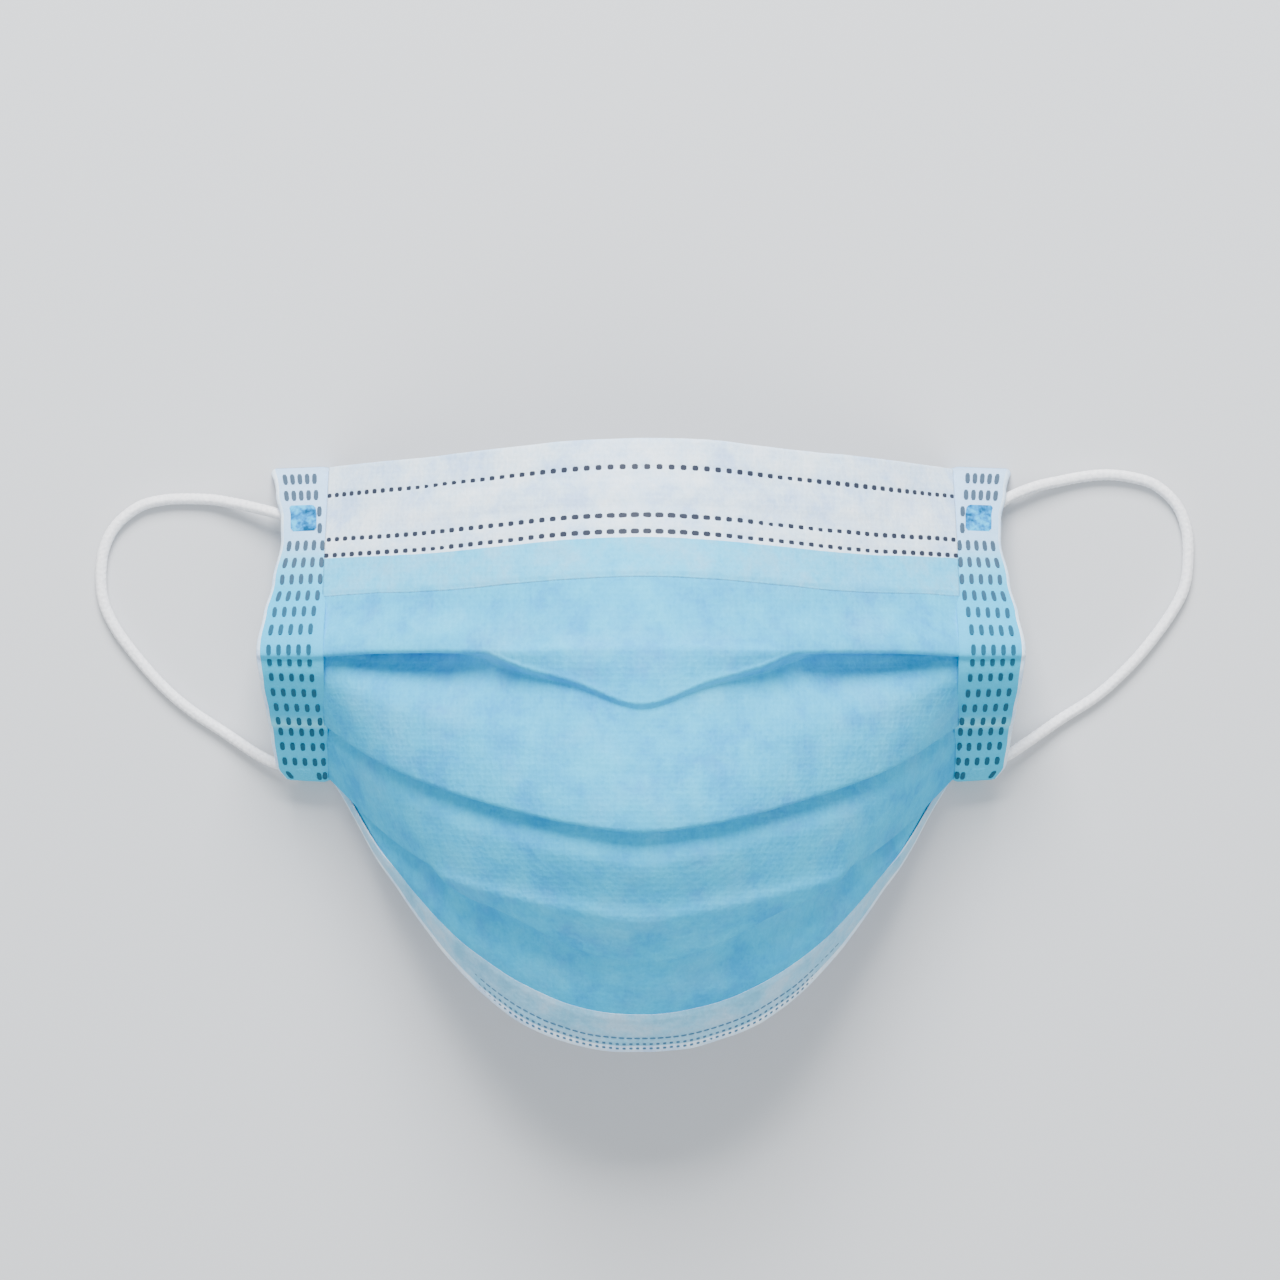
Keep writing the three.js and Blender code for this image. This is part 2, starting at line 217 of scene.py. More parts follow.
def smooth_line(knots, samples):
    """A centripetal curve through the knots, with a number of samples to each stretch."""
    knots = np.asarray(knots, float)
    first = 2 * knots[0] - knots[1]
    last = 2 * knots[-1] - knots[-2]
    knots = np.vstack([first, knots, last])
    gaps = np.sqrt(np.linalg.norm(np.diff(knots, axis=0), axis=1))
    t = np.linspace(0, 1, samples, endpoint=False)[:, None]
    parts = []
    for k in range(1, len(knots) - 2):
        a, b, c, d = knots[k - 1:k + 3]
        before, here, after = gaps[k - 1:k + 2]
        start = ((b - a) / before - (c - a) / (before + here) + (c - b) / here) * here
        end = ((c - b) / here - (d - b) / (here + after) + (d - c) / after) * here
        parts.append((2 * t**3 - 3 * t**2 + 1) * b + (t**3 - 2 * t**2 + t) * start
                     + (3 * t**2 - 2 * t**3) * c + (t**3 - t**2) * end)
    parts.append(knots[-2][None])
    return np.vstack(parts)


def runs_along(points):
    return np.concatenate([[0], np.cumsum(np.linalg.norm(np.diff(points, axis=0), axis=1))])


class SideView:
    """The side view of the open mask at one place across it, measured along the cloth."""

    SAMPLES = 60

    def __init__(self, across):
        knots = [
            (OPEN_HEIGHT * between(CREASES[name]["height"], across),
             DOME_HEIGHT * between(CREASES[name]["rise"], across))
            for name in CREASE_NAMES
        ]
        self.points = smooth_line(knots, self.SAMPLES)
        self.runs = runs_along(self.points)
        self.total = self.runs[-1]
        self.along = np.gradient(self.points, self.runs, axis=0)
        self.along /= np.linalg.norm(self.along, axis=1)[:, None]

    def run_of(self, name):
        return self.runs[CREASE_NAMES.index(name) * self.SAMPLES]

    def at(self, run, depth):
        run, depth = np.broadcast_arrays(np.asarray(run, float), np.asarray(depth, float))
        y, z, ay, az = (
            np.interp(run, self.runs, column)
            for column in (self.points[:, 0], self.points[:, 1], self.along[:, 0], self.along[:, 1])
        )
        beyond = run - np.clip(run, 0, self.total)
        return np.stack([y + ay * beyond - az * depth, z + az * beyond + ay * depth], axis=-1)


def panel_profile(across):
    """The side view, the runs and depths of the panel's cloth on it, and the depth of its hem."""
    view = SideView(across)
    run, depth = [], []

    def add(new_run, new_depth):
        new_run, new_depth = np.broadcast_arrays(np.atleast_1d(new_run), np.atleast_1d(new_depth))
        run.extend(new_run)
        depth.extend(new_depth)

    def lip_run(pleat):
        """How far an opened pleat's lip lies below its ironed fold."""
        return max(0, PLEAT_DEPTH * between(pleat["run"], across) - LIP_WIDTH)

    def lip_start(pleat):
        return view.run_of(pleat["fold"]) - FOLD_RADIUS + lip_run(pleat)

    def ridge(places, pleat):
        """The crease that is left where the fold was ironed, sharper on its upper side."""
        away = places - view.run_of(pleat["fold"])
        reach = np.where(away < 0, RIDGE_ABOVE, RIDGE_BELOW)
        height = RIDGE * smooth_step(lip_run(pleat) / RIDGE_EASE)
        return height * np.exp(-np.hypot(away / reach, RIDGE_ROUNDING))

    first = PLEATS[0]
    ironed = view.run_of(first["fold"])
    end = lip_start(first)
    facet_sink = FACET_SINK * smooth_step(lip_run(first) / FACET_EASE)
    upper = np.concatenate([
        np.linspace(EDGE_SETBACK, ironed - NEAR_FOLD, UPPER_POINTS, endpoint=False),
        np.linspace(ironed - NEAR_FOLD, end, NEAR_POINTS, endpoint=False),
    ])
    bound = view.run_of("top_binding_edge")
    hollow = np.clip((upper - bound) / (end - bound), 0, 1)
    flare = UPPER_FLARE * (1 - np.cos(2 * math.pi * hollow ** UPPER_SKEW)) / 2
    facet = smooth_step((upper - ironed) / max(end - ironed, LEAST_STEP)) * facet_sink
    add(upper, flare - ridge(upper, first) + facet)

    arc = np.linspace(0, 1, BEND_POINTS)
    layer = np.linspace(0, 1, LAYER_POINTS)
    for number, pleat in enumerate(PLEATS):
        lip = lip_run(pleat)
        fold = view.run_of(pleat["fold"]) + lip
        fallen = (0 if number else facet_sink) - float(ridge(lip_start(pleat), pleat))
        outer = np.array([fold - FOLD_RADIUS, FOLD_RADIUS + fallen])
        step = np.array([
            PLEAT_DEPTH * between(pleat["run"], across) - lip,
            2 * FOLD_RADIUS + PLEAT_DEPTH * between(pleat["sink"], across) - fallen,
        ])
        inner = outer + step
        turn = math.atan2(step[1], step[0]) + math.asin(min(1, 2 * FOLD_RADIUS / np.linalg.norm(step)))
        angle = turn * (arc[1:] if number else arc)
        add(outer[0] + FOLD_RADIUS * np.sin(angle), outer[1] - FOLD_RADIUS * np.cos(angle))
        aside = FOLD_RADIUS * np.array([math.sin(turn), -math.cos(turn)])
        leave, arrive = outer + aside, inner - aside
        share = layer[1:-1]
        add(leave[0] + (arrive[0] - leave[0]) * share, leave[1] + (arrive[1] - leave[1]) * share)
        angle = turn * (1 - arc)
        add(inner[0] - FOLD_RADIUS * np.sin(angle), inner[1] + FOLD_RADIUS * np.cos(angle))

        start = inner[1] + FOLD_RADIUS
        free = max(fold + FOLD_RADIUS, inner[0] + 3 * FOLD_RADIUS)
        follower = PLEATS[number + 1] if number + 1 < len(PLEATS) else None
        if follower:
            end = lip_start(follower)
            release = max(view.run_of(follower["fold"]) - FOLD_RADIUS - PLEAT_DEPTH, free + FOLD_RADIUS)
            hold = free
            end_depth = 0
            release_depth = FLARE
        else:
            end = view.total - EDGE_SETBACK
            hem = HEM_WIDTH * between(HEM_SHARE, across)
            hold = min(free, end - 4 * LEAST_STEP)
            release = np.clip(view.total - hem - HEM_CLEAR, hold + 2 * LEAST_STEP, end - LEAST_STEP)
            settled = (view.total - fold - TIGHT_HEM) / (EASY_HEM - TIGHT_HEM)
            end_depth = start * (1 - smooth_step(settled))
            release_depth = end_depth
        add(inner[0] + (hold - inner[0]) * layer[1:], start)
        share = np.linspace(0, 1, RISE_POINTS)[1:]
        add(hold + (release - hold) * share, start + (release_depth - start) * smooth_step(share))
        share = np.linspace(0, 1, FACE_POINTS)[1:]
        places = release + (end - release) * share
        raised = ridge(places, follower) if follower else 0
        add(places, end_depth + (release_depth - end_depth) * (1 - share) ** 2 - raised)
    return view, np.array(run), np.array(depth), end_depth


# Uneven swells of the cloth: height in millimetres, size and seed of each layer of noise
SWELLS = [(0.30, 14 * MM, 3), (0.13, 5 * MM, 4), (0.05, 2 * MM, 5)]
NOISE_CELLS = 64
NOISE_SHIFT = 20


def soft_noise(a, b, size, seed):
    """Smooth noise between -1 and 1 over two coordinates, with bumps of a given size."""
    rng = np.random.default_rng(seed)
    table = rng.uniform(-1, 1, (NOISE_CELLS, NOISE_CELLS))
    a = np.asarray(a) / size + NOISE_SHIFT
    b = np.asarray(b) / size + NOISE_SHIFT
    i, j = np.floor(a).astype(int), np.floor(b).astype(int)
    s, t = smooth_step(a - i), smooth_step(b - j)
    corner = [[table[(i + p) % NOISE_CELLS, (j + q) % NOISE_CELLS] for q in (0, 1)] for p in (0, 1)]
    low = corner[0][0] * (1 - t) + corner[0][1] * t
    high = corner[1][0] * (1 - t) + corner[1][1] * t
    return low * (1 - s) + high * s


def wrinkle(x, run):
    """The swells of the cloth, as a change of depth."""
    return sum(height * soft_noise(x, run, size, seed) for height, size, seed in SWELLS) * MM


def grid_normals(grid):
    """Outward normals of a grid of points, stations first and the line along the cloth second."""
    across = np.gradient(grid, axis=0)
    along = np.gradient(grid, axis=1)
    normal = np.cross(along, across)
    return normal / np.maximum(np.linalg.norm(normal, axis=2), 1e-12)[:, :, None]


def make_object(name, vertices, faces, materials, face_materials=None, smooth=True):
    mesh = bpy.data.meshes.new(name)
    mesh.from_pydata(np.asarray(vertices).tolist(), [], faces)
    for material in materials:
        mesh.materials.append(material)
    if face_materials is not None:
        mesh.polygons.foreach_set("material_index", face_materials)
    mesh.polygons.foreach_set("use_smooth", [smooth] * len(mesh.polygons))
    mesh.validate()
    mesh.update()
    piece = bpy.data.objects.new(name, mesh)
    bpy.context.scene.collection.objects.link(piece)
    return piece


def sheet_object(name, grid, wall, materials, outer_slot=None):
    """A closed thin sheet round a grid of points, with its own material on the outer side."""
    stations, count = grid.shape[:2]
    normal = grid_normals(grid)
    outer = (grid + normal * wall / 2).reshape(-1, 3)
    inner = (grid - normal * wall / 2).reshape(-1, 3)
    shift = stations * count
    faces, slots = [], []

    def quad(a, b, c, d, slot):
        faces.append((a, b, c, d))
        slots.append(slot)

    for i in range(stations - 1):
        for j in range(count - 1):
            a, b = i * count + j, (i + 1) * count + j
            slot = 0 if outer_slot is None else int(outer_slot[j])
            quad(a, a + 1, b + 1, b, slot)
            quad(shift + a, shift + b, shift + b + 1, shift + a + 1, len(materials) - 1)
    for i in range(stations - 1):
        for j, flip in ((0, False), (count - 1, True)):
            a, b = i * count + j, (i + 1) * count + j
            ring = (a, b, shift + b, shift + a)
            quad(*(ring[::-1] if flip else ring), len(materials) - 1)
    for j in range(count - 1):
        for i, flip in ((0, True), (stations - 1, False)):
            a = i * count + j
            ring = (a, a + 1, shift + a + 1, shift + a)
            quad(*(ring[::-1] if flip else ring), len(materials) - 1)
    return make_object(name, np.vstack([outer, inner]), faces, materials, slots)


# Materials
def srgb(red, green, blue):
    def linear(value):
        value /= 255
        return value / 12.92 if value <= 0.04045 else ((value + 0.055) / 1.055) ** 2.4
    return (linear(red), linear(green), linear(blue), 1)


class Nodes:
    """Short ways to add and link a material's nodes."""

    def __init__(self, name):
        self.material = bpy.data.materials.new(name)
        self.material.use_nodes = True
        self.tree = self.material.node_tree
        self.shader = self.tree.nodes["Principled BSDF"]
        self.coords = self.add("ShaderNodeTexCoord").outputs["Object"]

    def add(self, kind, **inputs):
        node = self.tree.nodes.new(kind)
        for key, value in inputs.items():
            if key in node.inputs:
                node.inputs[key].default_value = value
            else:
                setattr(node, key, value)
        return node

    def link(self, source, target):
        self.tree.links.new(source, target)

    def noise(self, scale, detail=3.0, roughness=0.55, distortion=0.0, stretch=None):
        node = self.add("ShaderNodeTexNoise", Scale=scale, Detail=detail, Roughness=roughness,
                        Distortion=distortion)
        if stretch:
            mapping = self.add("ShaderNodeMapping", Scale=stretch)
            self.link(self.coords, mapping.inputs["Vector"])
            self.link(mapping.outputs["Vector"], node.inputs["Vector"])
        else:
            self.link(self.coords, node.inputs["Vector"])
        return node.outputs["Fac"]

    def ramp(self, source, stops):
        node = self.add("ShaderNodeValToRGB")
        elements = node.color_ramp.elements
        elements[0].position, elements[0].color = stops[0]
        elements[1].position, elements[1].color = stops[-1]
        for position, colour in stops[1:-1]:
            element = elements.new(position)
            element.color = colour
        self.link(source, node.inputs["Fac"])
        return node.outputs["Color"]

    def mix(self, first, second, factor, blend="MIX"):
        node = self.add("ShaderNodeMix", data_type="RGBA", blend_type=blend)
        for value, name in ((first, "A"), (second, "B"), (factor, "Factor")):
            socket = [s for s in node.inputs if s.name == name and s.enabled][0]
            if hasattr(value, "links"):
                self.link(value, socket)
            else:
                socket.default_value = value
        return [s for s in node.outputs if s.enabled][0]

    def bump(self, height, distance, strength, below=None):
        node = self.add("ShaderNodeBump", Distance=distance, Strength=strength)
        self.link(height, node.inputs["Height"])
        if below is not None:
            self.link(below, node.inputs["Normal"])
        return node.outputs["Normal"]

    def surface(self, colour, normal, roughness, specular=0.5, sheen=0.0):
        """Link the shader's colour and normal, set its constants and give the material back."""
        self.link(colour, self.shader.inputs["Base Color"])
        self.link(normal, self.shader.inputs["Normal"])
        self.shader.inputs["Roughness"].default_value = roughness
        self.shader.inputs["Specular IOR Level"].default_value = specular
        self.shader.inputs["Sheen Weight"].default_value = sheen
        return self.material


# Matted fibres, shared by the cloths and the side tapes
FIBRES = {"scale": 900, "detail": 5, "roughness": 0.7, "distortion": 1.2}
FIBRE_BUMP = 0.12 * MM
TINT = 0.8


def nonwoven(name, dark, middle, light, roughness, sheen):
    """Spunbond cloth: cloudy mottling, matted fibres and a fine grid of bonded points."""
    nodes = Nodes(name)
    cloud = nodes.noise(120, detail=5, roughness=0.66)
    colour = nodes.ramp(cloud, [(0.36, dark), (0.48, middle), (0.64, light)])
    blush = nodes.ramp(nodes.noise(80, detail=4), [(0.5, (0, 0, 0, 1)), (0.8, (0.06, 0.01, 0.01, 1))])
    colour = nodes.mix(colour, blush, TINT, "ADD")
    fibre = nodes.noise(**FIBRES, stretch=(1, 0.45, 1))
    fibre_tint = nodes.ramp(fibre, [(0.3, (0.86, 0.88, 0.9, 1)), (0.7, (1.08, 1.06, 1.05, 1))])
    colour = nodes.mix(colour, fibre_tint, TINT, "MULTIPLY")
    bonds = nodes.add("ShaderNodeTexVoronoi", Scale=950.0, Randomness=0.35)
    nodes.link(nodes.coords, bonds.inputs["Vector"])
    bond = bonds.outputs["Distance"]
    bond_tint = nodes.ramp(bond, [(0.10, (0.90, 0.92, 0.94, 1)), (0.34, (1, 1, 1, 1))])
    colour = nodes.mix(colour, bond_tint, 0.6, "MULTIPLY")
    normal = nodes.bump(cloud, 0.5 * MM, 0.5)
    normal = nodes.bump(bond, 0.12 * MM, 0.7, normal)
    normal = nodes.bump(fibre, FIBRE_BUMP, 0.8, normal)
    return nodes.surface(colour, normal, roughness, specular=0.15, sheen=sheen)


# Ends of the side tapes as seen from above
CHIN_END_Y = -9.6 * MM
NOSE_END_Y = 55.4 * MM


def place_along(nodes):
    """Place between the chin end of the side tapes (0) and their nose end (1)."""
    split = nodes.add("ShaderNodeSeparateXYZ")
    nodes.link(nodes.coords, split.inputs[0])
    place = nodes.add("ShaderNodeMapRange")
    nodes.link(split.outputs["Y"], place.inputs["Value"])
    place.inputs["From Min"].default_value = CHIN_END_Y
    place.inputs["From Max"].default_value = NOSE_END_Y
    return place.outputs["Result"]


def welded(name, colours):
    """The glassy film where the plies are melted together, from the chin end to the nose end."""
    nodes = Nodes(name)
    steps = np.linspace(0.3, 0.75, len(colours))
    colour = nodes.ramp(place_along(nodes), list(zip(steps.tolist(), colours)))
    grain = nodes.noise(1500, detail=2)
    tint = nodes.ramp(grain, [(0.3, (0.82, 0.84, 0.88, 1)), (0.7, (1.15, 1.12, 1.1, 1))])
    colour = nodes.mix(colour, tint, TINT, "MULTIPLY")
    return nodes.surface(colour, nodes.bump(grain, 0.05 * MM, 0.5), roughness=0.6, specular=0.2)


def spot_material():
    """The patterned film over an ear loop's end, in light and dark patches."""
    nodes = Nodes("spot_weld")
    patches = nodes.noise(420, detail=3, roughness=0.6)
    stops = [(0.38, srgb(0, 74, 116)), (0.5, srgb(0, 126, 192)), (0.62, srgb(16, 176, 230))]
    normal = nodes.bump(patches, 0.3 * MM, 0.8)
    return nodes.surface(nodes.ramp(patches, stops), normal, roughness=0.8, specular=0.1)


def tape_material():
    """The side tape: white over the white binding, then blue as the cloth shows through, with a narrow
    painted highlight where the second fold crosses it.
    """
    nodes = Nodes("side_tape")
    stops = [
        (0.00, srgb(50, 194, 230)),
        (0.19, srgb(20, 184, 226)),
        # Painted highlight: the light band at 0.21 stands for light on the tape's ridge over the second
        # fold
        (0.21, srgb(110, 216, 240)),
        (0.24, srgb(10, 180, 222)),
        (0.40, srgb(10, 184, 224)),
        (0.428, srgb(0, 178, 226)),
        (0.60, srgb(0, 182, 230)),
        (0.69, srgb(84, 196, 238)),
        (0.76, srgb(160, 206, 244)),
        (1.00, srgb(178, 212, 248)),
    ]
    colour = nodes.ramp(place_along(nodes), stops)
    fibre = nodes.noise(**FIBRES)
    tint = nodes.ramp(fibre, [(0.3, (0.88, 0.9, 0.92, 1)), (0.7, (1.06, 1.05, 1.04, 1))])
    colour = nodes.mix(colour, tint, TINT, "MULTIPLY")
    normal = nodes.bump(nodes.noise(160, detail=3), 0.4 * MM, 0.5)
    normal = nodes.bump(fibre, FIBRE_BUMP, 0.8, normal)
    return nodes.surface(colour, normal, roughness=0.8, specular=0.2)


def elastic_material():
    nodes = Nodes("elastic")
    yarn = nodes.noise(1400, detail=3, roughness=0.6)
    colour = nodes.ramp(yarn, [(0.3, srgb(222, 222, 228)), (0.7, srgb(250, 250, 252))])
    return nodes.surface(colour, nodes.bump(yarn, 0.1 * MM, 0.8), roughness=0.85, sheen=0.4)


# Dark, middle and light patches of each cloth
BLUE = [srgb(0, 162, 222), srgb(0, 178, 230), srgb(30, 190, 236)]
WHITE = [srgb(180, 212, 250), srgb(204, 230, 255), srgb(226, 242, 255)]
PALE = [srgb(38, 184, 236), srgb(64, 196, 242), srgb(104, 196, 236)]
HEM = [srgb(112, 186, 220), srgb(136, 200, 232), srgb(166, 206, 232)]

blue_cloth = nonwoven("filter_cloth", *BLUE, roughness=0.85, sheen=0.0)
white_ply = nonwoven("white_ply", *WHITE, roughness=0.8, sheen=0.2)
pale_ply = nonwoven("pale_ply", *PALE, roughness=0.8, sheen=0.06)
hem_ply = nonwoven("hem_ply", *HEM, roughness=0.8, sheen=0.1)
side_tape = tape_material()
dot_weld = welded("dot_weld", [srgb(40, 46, 62), srgb(40, 46, 62)])
dash_weld = welded("dash_weld", [srgb(10, 88, 114), srgb(16, 78, 106), srgb(56, 78, 98)])
spot_weld = spot_material()
hem_weld = welded("hem_weld", [srgb(64, 112, 146), srgb(92, 122, 146)])
elastic = elastic_material()


# Camera, lights and floor
FLOOR_REACH = 2.0


def add_camera():
    data = bpy.data.cameras.new("camera")
    data.sensor_width = SENSOR_WIDTH
    data.lens = SENSOR_WIDTH * CAMERA_HEIGHT / FRAME_WIDTH
    camera = bpy.data.objects.new("camera", data)
    camera.location = (CAMERA_X, CAMERA_Y, CAMERA_HEIGHT)
    bpy.context.scene.collection.objects.link(camera)
    bpy.context.scene.camera = camera


def add_light(name, place, size, power):
    """A square light that faces the origin."""
    data = bpy.data.lights.new(name, "AREA")
    data.size = size
    data.energy = power
    light = bpy.data.objects.new(name, data)
    light.location = place
    x, y, z = place
    light.rotation_euler = (math.atan2(math.hypot(x, y), z), 0, math.atan2(-x, y) + math.pi)
    bpy.context.scene.collection.objects.link(light)


def add_world(colour, strength):
    world = bpy.data.worlds.new("studio")
    world.use_nodes = True
    background = world.node_tree.nodes["Background"]
    background.inputs["Color"].default_value = colour
    background.inputs["Strength"].default_value = strength
    bpy.context.scene.world = world


def add_floor():
    nodes = Nodes("floor")
    nodes.shader.inputs["Base Color"].default_value = srgb(196, 198, 202)
    nodes.shader.inputs["Roughness"].default_value = 0.8
    corners = [(x * FLOOR_REACH, y * FLOOR_REACH, 0) for x, y in ((-1, -1), (1, -1), (1, 1), (-1, 1))]
    make_object("floor", corners, [(0, 1, 2, 3)], [nodes.material], smooth=False)


add_camera()
add_light("key", place=(-0.04, 0.88, 0.76), size=0.6, power=38)
add_light("fill", place=(0.1, -0.6, 1.1), size=1.0, power=8)
add_world(colour=(0.92, 0.98, 1, 1), strength=0.72)
add_floor()


# Ear loops: thin tubes with the wales and stitches of knitted elastic
LOOP_STEP = 0.22 * MM
LOOP_SIDES = 28
LOOP_SAMPLES = 40
WALES = 7
COURSE = 1.1 * MM
LOOP_CORE = 0.955
WALE_HEIGHT = 0.05
STITCH_HEIGHT = 0.035


def tube_frames(path):
    """Unit side vectors that turn with a path without twisting."""
    along = np.gradient(path, axis=0)
    along /= np.linalg.norm(along, axis=1)[:, None]
    first = np.cross(along[0], (0, 0, 1))
    first /= np.linalg.norm(first)
    sides = [first]
    for direction in along[1:]:
        side = sides[-1] - direction * np.dot(sides[-1], direction)
        sides.append(side / np.linalg.norm(side))
    sides = np.array(sides)
    return sides, np.cross(along, sides)


def even_path(points, step):
    runs = runs_along(points)
    places = np.linspace(0, runs[-1], max(2, int(runs[-1] / step) + 1))
    return np.stack([np.interp(places, runs, points[:, k]) for k in range(3)], axis=1)


def ear_loop(name, route):
    path = even_path(smooth_line(np.array(route) * MM, LOOP_SAMPLES), LOOP_STEP)
    side, up = tube_frames(path)
    angle = np.linspace(0, 2 * math.pi, LOOP_SIDES, endpoint=False)
    run = np.arange(len(path)) * LOOP_STEP
    slant = angle[None, :] * WALES
    wale = np.cos(slant) * 0.5 + 0.5
    stitch = np.cos(2 * math.pi * run[:, None] / COURSE + np.where(np.cos(slant / 2) > 0, 0.0, math.pi))
    radius = LOOP_DIAMETER / 2 * (LOOP_CORE + WALE_HEIGHT * wale + STITCH_HEIGHT * stitch * wale)
    points = (path[:, None, :] + side[:, None, :] * (radius * np.cos(angle))[:, :, None]
              + up[:, None, :] * (radius * np.sin(angle))[:, :, None])
    faces = []
    for i in range(len(path) - 1):
        for k in range(LOOP_SIDES):
            a, b = i * LOOP_SIDES + k, i * LOOP_SIDES + (k + 1) % LOOP_SIDES
            faces.append((a, b, b + LOOP_SIDES, a + LOOP_SIDES))
    last = (len(path) - 1) * LOOP_SIDES
    faces.append(tuple(reversed(range(LOOP_SIDES))))
    faces.append(tuple(range(last, last + LOOP_SIDES)))
    piece = make_object(name, points.reshape(-1, 3), faces, [elastic])
    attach(piece, "root")
    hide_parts(name.replace("elastic", "ear_loop"))


ear_loop("elastic_left", LEFT_LOOP_ROUTE)
ear_loop("elastic_right", RIGHT_LOOP_ROUTE)


# Pleated panel
PANEL_STATIONS = 181


def stations(reach, count):
    return np.linspace(-reach, reach, count)


def cloth_line(view, share, run, depth):
    """A line along the cloth at one place across it, with the cloth's swells."""
    x = share * PANEL_WIDTH / 2
    return np.column_stack([np.full(len(run), x), view.at(run, depth + wrinkle(x, run))])


def panel():
    grid = []
    for share in stations(1.0, PANEL_STATIONS):
        view, run, depth, _ = panel_profile(abs(share))
        grid.append(cloth_line(view, share, run, depth - PANEL_LIFT))
    piece = sheet_object("panel_cloth", np.array(grid), CLOTH, [blue_cloth, white_ply])
    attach(piece, "root")
    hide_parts("pleated_panel")
    return piece


cloth = panel()


# Welds: thin plates of melted film let into the cloth
PLATE_CORNER = 0.55
PATCH_CORNER = 0.3
PATCH_STEPS = 24


class Plates:
    def __init__(self):
        self.vertices = []
        self.faces = []

    def add(self, centre, long, wide, normal, half_length, half_width, thick):
        """A flat plate with cut corners, its length along one direction and its width along another."""
        base = len(self.vertices)
        corner = PLATE_CORNER
        outline = [(-1, -corner), (-corner, -1), (corner, -1), (1, -corner),
                   (1, corner), (corner, 1), (-corner, 1), (-1, corner)]
        for level in (-1, 1):
            for a, b in outline:
                self.vertices.append(centre + long * a * half_length + wide * b * half_width
                                     + normal * level * thick / 2)
        count = len(outline)
        self.faces.append(tuple(base + k for k in reversed(range(count))))
        self.faces.append(tuple(base + count + k for k in range(count)))
        for k in range(count):
            m = (k + 1) % count
            self.faces.append((base + k, base + m, base + count + m, base + count + k))

    def add_patch(self, point_at, thick):
        """A square plate with round corners, its points given by point_at(i, j, depth) from -1 to 1."""
        base = len(self.vertices)
        row = PATCH_STEPS + 1
        below = row * row
        places = np.linspace(-1, 1, row)
        for depth in (0, thick):
            self.vertices.extend(point_at(i, j, depth) for i in places for j in places)
        middles = (places[1:] + places[:-1]) / 2
        past = np.maximum(np.abs(middles) - (1 - PATCH_CORNER), 0)
        edges = set()
        for a in range(PATCH_STEPS):
            for b in range(PATCH_STEPS):
                if math.hypot(past[a], past[b]) >= PATCH_CORNER:
                    continue
                k = base + a * row + b
                face = (k, k + row, k + row + 1, k + 1)
                self.faces.append(face)
                self.faces.append(tuple(corner + below for corner in reversed(face)))
                for edge in zip(face, face[1:] + face[:1]):
                    if edge[::-1] in edges:
                        edges.remove(edge[::-1])
                    else:
                        edges.add(edge)
        for start, end in sorted(edges):
            self.faces.append((end, start, start + below, end + below))

    def build(self, name, material):
        piece = make_object(name, self.vertices, self.faces, [material], smooth=False)
        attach(piece, "root")
        return piece


# Weld rows across the mask: samples along a row, and the steps that find a plate's directions
ROW_SAMPLES = 240
NEARBY_SHARE = 0.004
NEARBY_RUN = 0.3 * MM


def row_places(run_at, pitch, reach):
    """Even places along a weld row, with the distance along the row at each sampled share."""
    shares = np.linspace(0, reach, ROW_SAMPLES)
    points = []
    for share in shares:
        view = SideView(share)
        points.append([share * PANEL_WIDTH / 2, *view.at(run_at(view, share), 0)])
    lengths = runs_along(np.array(points))
    marks = np.arange(pitch / 2, lengths[-1], pitch)
    return np.interp(marks, lengths, shares), shares, lengths


def surface_frame(share, run_at, depth):
    """A point on the swelling cloth with its directions across, along and out of it."""
    def point(place, shift):
        view = SideView(abs(place))
        return np.array([place * PANEL_WIDTH / 2, *view.at(run_at(view, abs(place)) + shift, depth)])
    across = point(share + NEARBY_SHARE, 0) - point(share - NEARBY_SHARE, 0)
    along = point(share, NEARBY_RUN) - point(share, -NEARBY_RUN)
    across /= np.linalg.norm(across)
    along /= np.linalg.norm(along)
    normal = np.cross(along, across)
    normal /= np.linalg.norm(normal)
    swell = wrinkle(share * PANEL_WIDTH / 2, run_at(SideView(abs(share)), abs(share)))
    return point(share, 0) - normal * float(swell), across, along, normal


# Bindings: how far their plies lie above and below the side view, round the edge of the cloth
OVER = PANEL_LIFT + CLOTH / 2 + PLY / 2 + PLY_GAP
UNDER = -PANEL_LIFT + CLOTH / 2 + PLY / 2 + PLY_GAP
PLY_TURN = np.linspace(0, math.pi, 9)[1:-1]
HUG_DEPTH = 0.32 * MM
HUG_WIDTH = 1.2 * MM

# Top binding: its points from the tucked end over the edge to the seam
TOP_STATIONS = 361
TOP_TUCK_POINTS = 14
TOP_POINTS = 96
SEAM_POINTS = 6

# The ridge over the hidden nose wire: place and width as shares of the binding, end as a share across
WIRE_ROW = 0.38
WIRE_WIDTH = 0.085
WIRE_HEIGHT = 0.35 * MM
WIRE_END = 0.78
WIRE_EASE = 0.05

# The groove along a dotted row and the dents in it, and the dots, longer in the middle of two rows
GROOVE = 0.10 * MM
GROOVE_WIDTH = 0.75 * MM
DENT = 0.14 * MM
DENT_LENGTH = 0.75 * MM
DENT_WIDTH = 0.5 * MM
DOT_HALF_LENGTH = 0.58 * MM
DOT_HALF_WIDTH = 0.54 * MM
DOT_THICK = 0.12 * MM
BOLD = 0.35
BOLD_REACH = 0.35
BOLD_EASE = 0.3


def top_row(row):
    """The run of a dotted row in a side view."""
    return lambda view, share: (row + TOP_ROW_SAG * share**2) * view.run_of("top_binding_edge")


